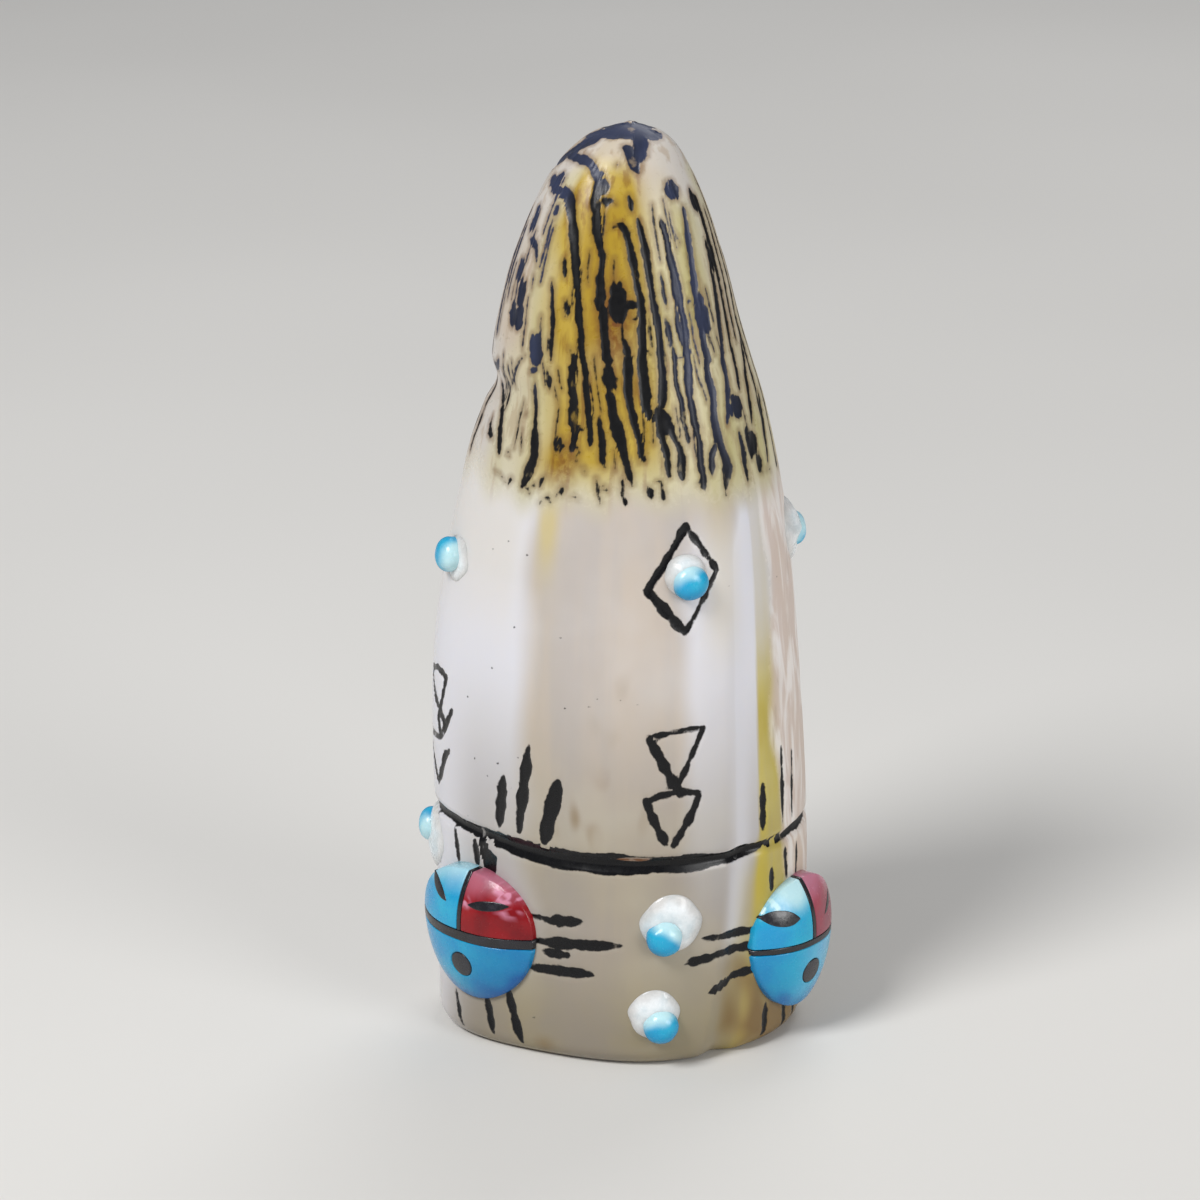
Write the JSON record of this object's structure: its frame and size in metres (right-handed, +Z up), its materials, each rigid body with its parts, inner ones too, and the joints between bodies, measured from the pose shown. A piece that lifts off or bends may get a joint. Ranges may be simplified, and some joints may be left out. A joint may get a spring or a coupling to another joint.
{
  "type": "zuni fetish carving",
  "caption": "Small standing bullet-shaped stone fetish carving with an incised hair cap, turquoise beads and inlaid sun faces, flat underside.",
  "frame": {"origin": "middle of the flat underside, on the surface the carving stands on", "axes": "+Z up the carving, the front faces -Y, +X to the viewer's right"},
  "size_m": [0.0259, 0.0204, 0.057],
  "materials": {
    "shell_stone": "polished, slightly translucent cream stone with an amber, black-lined hair cap",
    "turquoise": "polished blue turquoise",
    "coral": "polished red coral",
    "jet": "polished black jet"
  },
  "bodies": {
    "root": {"carved_body": "shell_stone", "ring_bead_front": "turquoise", "ring_bead_right": "turquoise", "ring_bead_back": "turquoise", "ring_bead_left": "turquoise", "upper_bead": "turquoise", "lower_bead": "turquoise", "left_bead": "turquoise", "left_face_left_brow": "turquoise", "left_face_right_brow": "coral", "left_face_divider": "jet", "left_face_bar": "jet", "left_face_chin": "turquoise", "left_face_mouth": "jet", "right_face_left_brow": "turquoise", "right_face_right_brow": "coral", "right_face_divider": "jet", "right_face_bar": "jet", "right_face_chin": "turquoise", "right_face_mouth": "jet"}
  },
  "joints": []
}
